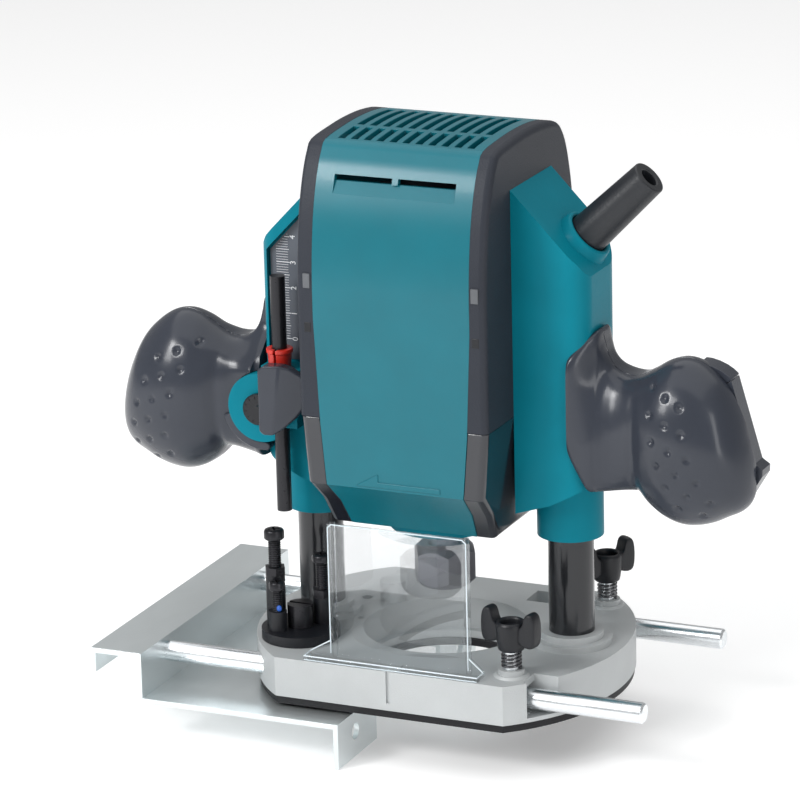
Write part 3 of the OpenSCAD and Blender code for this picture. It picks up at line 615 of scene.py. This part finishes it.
def stop_screw(node, name, shank, bottom, head_bottom):
    """Threaded screw with a cross in its head, where the node stands. Gives its place."""
    low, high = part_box(node)
    x = (low[0] + high[0]) / 2 / MM
    y = (low[1] + high[1]) / 2 / MM
    head = (high[0] - low[0]) / 2 / MM
    top = high[2] / MM
    shape = bmesh.new()
    add_rings(shape, thread(x, y, bottom, head_bottom + 0.2, shank))
    add_rings(shape, lathe([(head - 0.5, head_bottom), (head, head_bottom + 0.5),
                            (head, top - 0.9), (head - 0.35, top - 0.25), (head - 0.9, top)],
                           (x, y), 40))
    made = from_bmesh(name, shape, body_of_node(node), BLACK_STEEL, "black_steel")
    cross = bmesh.new()
    for turn in (35, 125):
        block(cross, (-head * 0.62, -0.45, -0.9), (head * 0.62, 0.45, 0.9),
              Matrix.Rotation(math.radians(turn), 3, "Z"))
    bmesh.ops.translate(cross, vec=(x, y, top), verts=cross.verts[:])
    cut(made, cross, crossing=True)
    smooth(made.data, 35)
    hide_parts(node)
    return x, y


def thread_locker_dab(x, y):
    """Drop of thread locker on a screw at this place."""
    dab = bmesh.new()
    bmesh.ops.create_uvsphere(dab, u_segments=14, v_segments=10, radius=1.0)
    bmesh.ops.scale(dab, vec=(1.1, 0.8, 1.3), verts=dab.verts[:])
    bmesh.ops.translate(dab, vec=(x + 1.4, y - 1.5, 31.8), verts=dab.verts[:])
    from_bmesh("thread_locker_dab", dab, "turret", BLUE, "black_plastic")


stop_screw("stop_screw_tall", "tall_stop_threaded", shank=2.45, bottom=28, head_bottom=57.0)
stop_screw("stop_screw_mid", "mid_stop_threaded", shank=2.45, bottom=28, head_bottom=46.8)
short_stop = stop_screw("stop_screw_short", "short_stop_threaded", shank=1.95, bottom=20,
                        head_bottom=38.6)
thread_locker_dab(*short_stop)


def coil(name, x, y, low, high, radius, wire, turns):
    """Spring between two heights: wire is the radius of the wire itself."""
    steps = int(turns * 28)
    around = [2 * math.pi * j / 10 for j in range(10)]
    up = Vector((0, 0, 1))
    rings = []
    for k in range(steps + 1):
        t = k / steps
        a = 2 * math.pi * turns * t
        z = low + wire + (high - low - 2 * wire) * t
        out = Vector((math.cos(a), math.sin(a), 0))
        centre = Vector((x, y, z)) + out * radius
        rings.append([tuple(centre + wire * (math.cos(b) * out + math.sin(b) * up))
                      for b in around])
    shape = bmesh.new()
    add_rings(shape, rings)
    return from_bmesh(name, shape, "base", SPRING, "spring_steel")


def stud_place(word):
    """Where the stud of a wing knob stands, in plan."""
    low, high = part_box("wing_stud_" + word)
    return (low[0] + high[0]) / 2 / MM, (low[1] + high[1]) / 2 / MM


KNOBS = {word: stud_place(word) for word in ("front", "rear")}


def clamp_springs():
    """Short springs under the wing knobs."""
    low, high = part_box("clamp_springs")
    coils = [coil("clamp_spring_" + word, x, y, low[2] / MM, high[2] / MM,
                  radius=3.55, wire=0.42, turns=4.5) for word, (x, y) in KNOBS.items()]
    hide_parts("clamp_springs")


def plunge_springs():
    """Long springs inside the posts, drawn at one fixed length, though the real ones shorten as the
    housing goes down.
    """
    low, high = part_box("plunge_springs")
    for word, x in (("left", -POST_X), ("right", POST_X)):
        spring = coil("plunge_spring_" + word, x, 0.0, low[2] / MM, high[2] / MM,
                      radius=4.9, wire=0.65, turns=34)
        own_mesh(spring)
    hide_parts("plunge_springs")


clamp_springs()
plunge_springs()


# ---------------------------------------------------------------- wing knobs

# outline of a wing knob's ear, as (distance out, height), and the point that it shrinks towards
EAR = [(3.6, 32.4), (7.0, 31.0), (10.0, 30.6), (11.7, 32.0), (12.1, 36.4), (12.0, 41.0),
       (11.2, 44.0), (9.4, 45.0), (7.6, 44.2), (6.9, 41.4), (6.3, 39.2), (3.9, 38.2)]
EAR_MIDDLE = (8.0, 38.0)


def ear_ring(side, level, inset):
    """Outline of an ear at a level of its thickness, drawn in by a share of the inset."""
    shrink = 1 - inset / 5
    out, height = EAR_MIDDLE
    return [(side * (out + (u - out) * shrink), level, height + (v - height) * shrink)
            for u, v in EAR]


def wing_knob(word, turn):
    """Cup-shaped hub with two thick rounded ears."""
    x, y = KNOBS[word]
    hub = bmesh.new()
    cup = [(3.1, 28.6), (4.3, 28.6), (4.9, 29.1), (5.2, 30.2), (5.6, 33.2), (5.8, 38.6),
           (5.5, 39.7), (4.9, 40.1), (4.4, 39.8), (4.1, 39.0), (4.0, 37.6), (1.0, 37.2)]
    add_rings(hub, lathe(cup, (0, 0), 48))
    cup_piece = from_bmesh("wing_knob_%s_hub" % word, hub, "clamp_" + word, BLACK,
                           "black_plastic", smooth_angle=50)
    ears = bmesh.new()
    levels = ((-2.9, 0.8), (-2.6, 0.2), (-1.4, 0.0), (1.4, 0.0), (2.6, 0.2), (2.9, 0.8))
    for side in (-1, 1):
        add_rings(ears, [ear_ring(side, level, inset) for level, inset in levels])
    ear_piece = from_bmesh("wing_knob_%s_ears" % word, ears, "clamp_" + word, BLACK,
                           "black_plastic", smooth_angle=60)
    spin = Matrix.Rotation(math.radians(turn), 4, "Z")
    for piece in (cup_piece, ear_piece):
        piece.data.transform(Matrix.Translation((x * MM, y * MM, 0)) @ spin)
    rounded = ear_piece.modifiers.new("round", "SUBSURF")
    rounded.levels = 2
    rounded.render_levels = 2
    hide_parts("wing_knob_" + word)


wing_knob("front", -11)
wing_knob("rear", 60)


# ---------------------------------------------------------------- depth scale and pole clamp

# the scale's zero line, its front, its count of lines and its left end, which slopes in near the top
SCALE_ZERO = 132.0
SCALE_FACE = -14.82
SCALE_LINES = 51
SCALE_LEFT = 60.5
SCALE_SLOPE = 168


def scale_marks():
    """A line for each millimetre, longer at each five and longest at each ten."""
    shape = bmesh.new()
    for step in range(SCALE_LINES):
        z = SCALE_ZERO + step
        if step % 10 == 0:
            right, thick = 54.9, 0.26
        elif step % 5 == 0:
            right, thick = 55.2, 0.2
        else:
            right, thick = 55.6, 0.12
        left = SCALE_LEFT - max(0.0, z - SCALE_SLOPE) * 0.9
        if left > right:
            block(shape, (-left, SCALE_FACE - 0.08, z - thick / 2),
                  (-right, SCALE_FACE + 0.04, z + thick / 2))
    from_bmesh("scale_marks", shape, "housing", PRINT, "scale_plastic")


def mesh_of(made):
    """Mesh of a curve or text object, which is removed."""
    bpy.context.scene.collection.objects.link(made)
    bpy.context.view_layer.update()
    flat = bpy.data.meshes.new_from_object(
        made.evaluated_get(bpy.context.evaluated_depsgraph_get()))
    bpy.data.objects.remove(made)
    return flat


def digit(label, x, z, height):
    """One figure of the scale as a thin raised piece."""
    data = bpy.data.curves.new("figure_" + label, "FONT")
    data.body = label
    data.size = height * MM
    data.extrude = 0.05 * MM
    data.align_x = "CENTER"
    data.align_y = "CENTER"
    flat = mesh_of(bpy.data.objects.new("figure_" + label, data))
    flat.transform(Matrix.Translation((x * MM, (SCALE_FACE - 0.03) * MM, z * MM))
                   @ Matrix.Rotation(math.radians(-90), 4, "Y")
                   @ Matrix.Rotation(math.radians(90), 4, "X"))
    put("scale_figure_" + label, flat, "housing", PRINT, "scale_plastic")


scale_marks()
for step in range(5):
    digit(str(step), -53.5, SCALE_ZERO + 10 * step, 3.2)

# outline of the pole lever's plate seen from the front, anticlockwise from its lower left corner
PLATE_LEFT = -59.4
PLATE_RIDGE = -53.6
PLATE_RIGHT = -40.0
PLATE_BACK = -30.5
PLATE = [(PLATE_LEFT, 101.2), (-57.6, 99.8), (PLATE_RIDGE, 100.0), (-50.2, 102.2),
         (-45.4, 106.6), (-41.6, 111.4), (PLATE_RIGHT, 115.6), (-40.4, 119.6), (-43.0, 123.4),
         (-47.0, 126.0), (-51.0, 127.0), (-57.4, 126.8), (PLATE_LEFT, 125.2)]


def plate_front(x):
    """Front of the lever's plate: level up to the ridge, then falling back."""
    if x <= PLATE_RIDGE:
        return -37.2
    return -36.9 + 4.8 * (x - PLATE_RIDGE) / (PLATE_RIGHT - PLATE_RIDGE)


def pole_lever_plate():
    """D-shaped plate of the pole's clamp lever, with a ridge down its front."""
    plate = bmesh.new()
    front = [plate.verts.new((x, plate_front(x), z)) for x, z in PLATE]
    rear = [plate.verts.new((x, PLATE_BACK, z)) for x, z in PLATE]
    for i in range(len(PLATE)):
        j = (i + 1) % len(PLATE)
        plate.faces.new((front[i], front[j], rear[j], rear[i]))
    plate.faces.new(rear)
    ridge_start = 2
    ridge_end = 10
    plate.faces.new(front[:ridge_start + 1] + front[ridge_end:])
    plate.faces.new(front[ridge_start:ridge_end + 1])
    made = from_bmesh("pole_lever_plate", plate, "pole_clamp", GRIP, "black_plastic",
                      smooth_angle=15)
    bevel = made.modifiers.new("edges", "BEVEL")
    bevel.width = 0.7 * MM
    bevel.segments = 4
    bevel.limit_method = "ANGLE"
    bevel.angle_limit = math.radians(12)
    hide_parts("pole_lever")


def pole_lever_hub():
    """Hub of the lever with a ring of ticks, and the arm that joins it to the plate."""
    hub = bmesh.new()
    add_rings(hub, [[(LEVER_X + r * math.cos(2 * math.pi * i / 60), y,
                      LEVER_Z + r * math.sin(2 * math.pi * i / 60)) for i in range(60)]
                    for r, y in ((5.9, -24.4), (6.1, -24.7), (6.1, -26.6), (5.6, -27.2))])
    block(hub, (-62.5, -33.0, 102.6), (-55.0, -27.0, 109.4))
    for k in range(12):
        a = math.radians(30 * k + 8)
        tick = block(hub, (-0.5, -0.25, -0.12), (0.5, 0.25, 0.12), Matrix.Rotation(-a, 3, "Y"))
        bmesh.ops.translate(hub, verts=tick, vec=(LEVER_X + 4.9 * math.cos(a), -27.2,
                                                  LEVER_Z + 4.9 * math.sin(a)))
    from_bmesh("pole_lever_hub", hub, "pole_clamp", BLACK, "black_plastic")


def handle_tongue():
    """Curved tongue of the left handle under the teal ring, with a round tip."""
    inner = RING_R + 0.4
    outer = RING_R + 3.9
    middle = (inner + outer) / 2
    half = (outer - inner) / 2
    sweep = [math.radians(a) for a in range(196, 275, 6)]
    tip = math.radians(274)
    curve = [(LEVER_X + outer * math.cos(a), LEVER_Z + outer * math.sin(a)) for a in sweep]
    for k in range(1, 6):
        b = tip + math.pi * k / 6
        curve.append((LEVER_X + middle * math.cos(tip) + half * math.cos(b),
                      LEVER_Z + middle * math.sin(tip) + half * math.sin(b)))
    curve += [(LEVER_X + inner * math.cos(a), LEVER_Z + inner * math.sin(a))
              for a in reversed(sweep)]
    tongue = bmesh.new()
    prism_xz(tongue, curve, -22.4, -18.0)
    add_bevel(from_bmesh("handle_left_tongue", tongue, "housing", GRIP, "grip_plastic"), 0.6, 3)


def clamp_recess():
    """Thin black sheet beside the pole clamp, the painted shade of a recess."""
    recess = bmesh.new()
    prism_xz(recess, [(-47.5, 107), (-39.2, 104), (-39.2, 118.6), (-47.5, 118.6)], -18.9, -18.2)
    add_bevel(from_bmesh("clamp_recess", recess, "housing", BLACK, "black_plastic"), 0.3)


pole_lever_plate()
pole_lever_hub()
handle_tongue()
clamp_recess()


# ---------------------------------------------------------------- housing trim

FRAME_FRONT = -45.0


def trim(name, low, high, surface, slot):
    add_bevel(from_bmesh(name, box_shape(low, high), "housing", surface, slot), 0.25)


# each side gets a light grey clip pad and a thin black pad on the frame front, the painted shade of
# a notch
for word, left, right in (("left", -35.2, -32.4), ("right", 32.4, 35.4)):
    trim("frame_clip_" + word, (left, FRAME_FRONT - 0.45, 161.8),
         (right, FRAME_FRONT + 1.0, 167.4), CLIP, "grey_plastic")
    trim("frame_notch_painted_shade_" + word, (left, FRAME_FRONT - 0.12, 144.8),
         (right, FRAME_FRONT + 1.0, 148.6), BLACK, "black_plastic")


def direction_arrow():
    """Raised arrow on the lower front, pointing to the left."""
    arrow = bmesh.new()
    prism_xz(arrow, [(-16.0, 86.9), (-6.6, 92.2), (-6.6, 89.0), (18.6, 89.0), (18.6, 86.9)],
             FRAME_FRONT - 0.35, FRAME_FRONT + 0.5)
    add_bevel(from_bmesh("direction_arrow", arrow, "housing", TEAL, "teal_plastic"), 0.25)


direction_arrow()

# the guard of the mains lead leans outward from the shoulder of the right column
CORD_START = Vector((57.2, 0, 175.8))
CORD_TILT = math.radians(46)
CORD_ALONG = Vector((math.sin(CORD_TILT), 0, math.cos(CORD_TILT)))
CORD_ASIDE = Vector((math.cos(CORD_TILT), 0, -math.sin(CORD_TILT)))
CORD_LIP = [(8.3, -2.0), (8.3, 5.4), (8.8, 6.0), (9.6, 6.0), (10.3, 5.2), (10.8, 3.0),
            (11.6, 0.6), (11.6, -2.0)]


def cord_ring(radius, height, steps=72):
    centre = CORD_START + CORD_ALONG * height
    turns = [2 * math.pi * i / steps for i in range(steps)]
    return [tuple(centre + radius * (math.cos(a) * CORD_ASIDE + math.sin(a) * Vector((0, 1, 0))))
            for a in turns]


def cord_socket_lip():
    """Lip round the mouth that holds the cord guard."""
    rings = [cord_ring(radius, height) for radius, height in CORD_LIP]
    lip = bmesh.new()
    add_rings(lip, rings + [rings[0]], cap=False)
    bmesh.ops.remove_doubles(lip, verts=lip.verts[:], dist=1e-4)
    from_bmesh("cord_socket_lip", lip, "housing", TEAL_SIDE_PAINTED_LIGHT, "teal_plastic", smooth_angle=60)


cord_socket_lip()


# ---------------------------------------------------------------- painted highlights on the rims of the clear guard

GUARD_LEFT = -26.5
GUARD_RIGHT = 30.5
GUARD_TOP = 72.0
GUARD_FOOT = 20.5
GUARD_FACE = -49.2
FOOT_LEFT = -34.7
FOOT_RIGHT = 36.2
FOOT_FRONT = -55.2


def rim_line(name, points, radius=0.26):
    """Fine bright line along the polished edges of the guard, a painted highlight where light
    catches them.
    """
    data = bpy.data.curves.new(name, "CURVE")
    data.dimensions = "3D"
    data.bevel_depth = radius * MM
    data.bevel_resolution = 2
    line = data.splines.new("POLY")
    line.points.add(len(points) - 1)
    for spot, place in zip(line.points, points):
        spot.co = (*(c * MM for c in place), 1)
    put(name, mesh_of(bpy.data.objects.new(name + "_line", data)), "base", CLEAR_EDGE_HIGHLIGHT,
        "clear_plastic")


rim_line("guard_rim_top", [(GUARD_LEFT + 0.3, GUARD_FACE, GUARD_FOOT),
                           (GUARD_LEFT + 0.3, GUARD_FACE, GUARD_TOP - 1.6),
                           (GUARD_LEFT + 1.8, GUARD_FACE, GUARD_TOP - 0.3),
                           (GUARD_RIGHT - 1.8, GUARD_FACE, GUARD_TOP - 0.3),
                           (GUARD_RIGHT - 0.3, GUARD_FACE, GUARD_TOP - 1.6),
                           (GUARD_RIGHT - 0.3, GUARD_FACE, GUARD_FOOT)])
rim_line("guard_rim_foot", [(FOOT_LEFT, GUARD_FACE + 0.2, GUARD_FOOT - 0.2),
                            (FOOT_LEFT, FOOT_FRONT, GUARD_FOOT - 0.2),
                            (FOOT_RIGHT, FOOT_FRONT, GUARD_FOOT - 0.2),
                            (FOOT_RIGHT, GUARD_FACE + 0.2, GUARD_FOOT - 0.2)])
rim_line("guard_rim_base", [(FOOT_LEFT, FOOT_FRONT, 18.8), (FOOT_RIGHT, FOOT_FRONT, 18.8)], 0.22)
for word, outer, inner in (("left", FOOT_LEFT + 0.1, GUARD_LEFT),
                           ("right", FOOT_RIGHT - 0.1, GUARD_RIGHT)):
    rim_line("guard_rim_gusset_" + word, [(outer, GUARD_FACE, GUARD_FOOT),
                                          (inner, GUARD_FACE, GUARD_FOOT + 4.8)])


# ---------------------------------------------------------------- stage

def softbox(name, place, aim, size, watts, diffuse=1.0):
    """Rectangular light at a place, turned towards a point."""
    data = bpy.data.lights.new(name, "AREA")
    data.diffuse_factor = diffuse
    data.shape = "RECTANGLE"
    data.size = size[0]
    data.size_y = size[1]
    data.energy = watts
    lamp = bpy.data.objects.new(name, data)
    lamp.location = place
    lamp.rotation_euler = (Vector(aim) - Vector(place)).to_track_quat("-Z", "Y").to_euler()
    bpy.context.scene.collection.objects.link(lamp)


def floor():
    """Wide pale ground just under the machine, bright enough to look white."""
    reach = 3.0
    height = cad_box[0][2] - 0.0002
    mesh = bpy.data.meshes.new("floor")
    mesh.from_pydata([(-reach, -reach, height), (reach, -reach, height),
                      (reach, reach, height), (-reach, reach, height)], [], [(0, 1, 2, 3)])
    made = bpy.data.objects.new("floor", mesh)
    bpy.context.scene.collection.objects.link(made)
    pale = look("pale_floor", (0.90, 0.90, 0.90), 0.9, bump=0.0, mottle=0.0)
    shader = pale.node_tree.nodes["Principled BSDF"]
    shader.inputs["Emission Color"].default_value = (1, 1, 1, 1)
    shader.inputs["Emission Strength"].default_value = 0.26
    mesh.materials.append(pale)


def studio():
    """White surroundings."""
    world = bpy.data.worlds.new("studio")
    bpy.context.scene.world = world
    world.use_nodes = True
    world.node_tree.nodes["Background"].inputs["Color"].default_value = (1, 1, 1, 1)
    world.node_tree.nodes["Background"].inputs["Strength"].default_value = 0.36


floor()
studio()
softbox("overhead", (0, 0.1, 1.6), (0, 0, 0), (2.6, 2.6), 22)
softbox("key", (-0.55, -0.80, 0.62), (0, 0, 0.1), (0.25, 0.45), 4.2)
softbox("fill", (0.9, -0.6, 0.35), (0, 0, 0.1), (0.2, 0.7), 1.8)
softbox("front_gloss", (-0.40, -0.95, 0.78), (0, 0, 0.15), (0.6, 0.2), 4.5, 0.15)

# camera solved from the parallel edges of the machine
VIEW_AZIMUTH = math.radians(24.43)
VIEW_HEIGHT = math.radians(16.86)
VIEW_ROLL = math.radians(-1.418)
VIEW_DISTANCE = 1.71517
VIEW_TARGET = Vector((-0.017314, 0.0, 0.107184))
LENS = 202.45
SENSOR = 36


def camera():
    """Camera that looks at the target from the solved direction and distance."""
    back = Vector((math.sin(VIEW_AZIMUTH) * math.cos(VIEW_HEIGHT),
                   -math.cos(VIEW_AZIMUTH) * math.cos(VIEW_HEIGHT), math.sin(VIEW_HEIGHT)))
    level = Vector((math.cos(VIEW_AZIMUTH), math.sin(VIEW_AZIMUTH), 0))
    upward = back.cross(level)
    across = math.cos(VIEW_ROLL) * level + math.sin(VIEW_ROLL) * upward
    up = math.cos(VIEW_ROLL) * upward - math.sin(VIEW_ROLL) * level
    lens = bpy.data.cameras.new("camera")
    lens.sensor_width = SENSOR
    lens.lens = LENS
    made = bpy.data.objects.new("camera", lens)
    turn = Matrix((across, up, back)).transposed().to_4x4()
    made.matrix_world = Matrix.Translation(VIEW_TARGET + VIEW_DISTANCE * back) @ turn
    bpy.context.scene.collection.objects.link(made)
    bpy.context.scene.camera = made


camera()
bpy.context.scene.view_settings.view_transform = "Standard"
